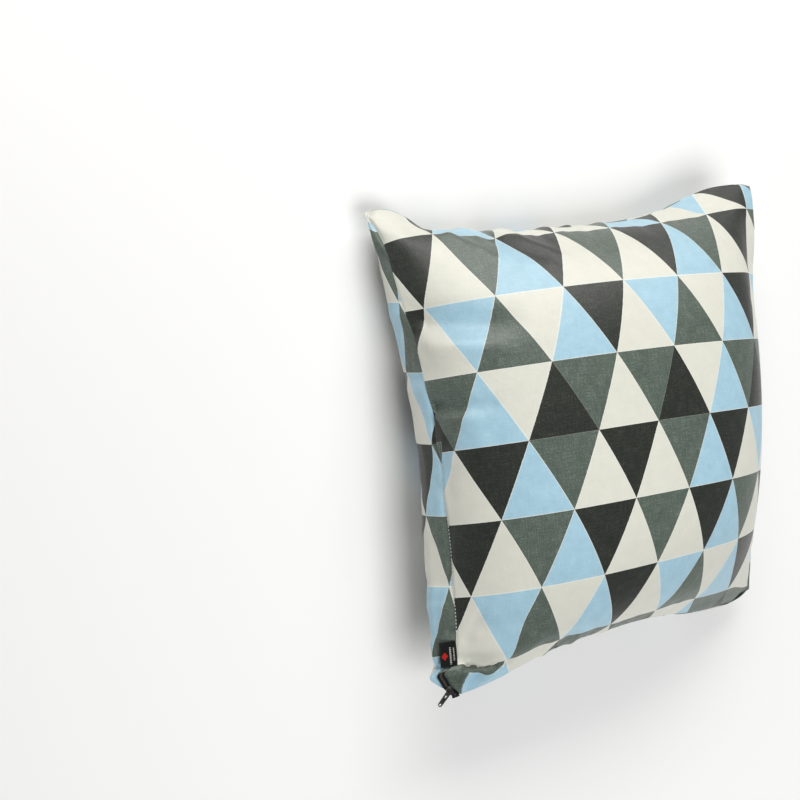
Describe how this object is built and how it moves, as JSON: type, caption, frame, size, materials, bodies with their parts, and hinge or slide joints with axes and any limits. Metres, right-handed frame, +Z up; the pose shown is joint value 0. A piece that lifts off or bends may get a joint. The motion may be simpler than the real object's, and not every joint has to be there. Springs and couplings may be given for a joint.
{
  "type": "square scatter cushion",
  "caption": "Square scatter cushion in a cotton cover with a triangle print, soft pointed corners, a concealed side zip whose end and pull show, and a small plain side label.",
  "frame": {"origin": "middle of the footprint, on the floor plane the cushion lies on", "axes": "+Z up, out of the front panel; +X towards the front panel's right side, +Y towards its top; the zip and the label are on the -X side, at its -Y end"},
  "size_m": [0.4481, 0.5019, 0.1539],
  "materials": {
    "printed_cotton": "plain canvas weave, matt, printed with off-white, light blue, slate and charcoal triangles",
    "woven_label": "black woven ribbon, matt",
    "zip_tape": "black woven tape and coil, matt",
    "black_metal": "dark lacquer, satin, worn bright at the rim"
  },
  "bodies": {
    "root": {"cushion": "printed_cotton", "label": "woven_label", "zip_tape": "zip_tape", "zip_coil": "zip_tape", "zip_slider": "black_metal", "zip_pull": "black_metal"}
  },
  "joints": []
}
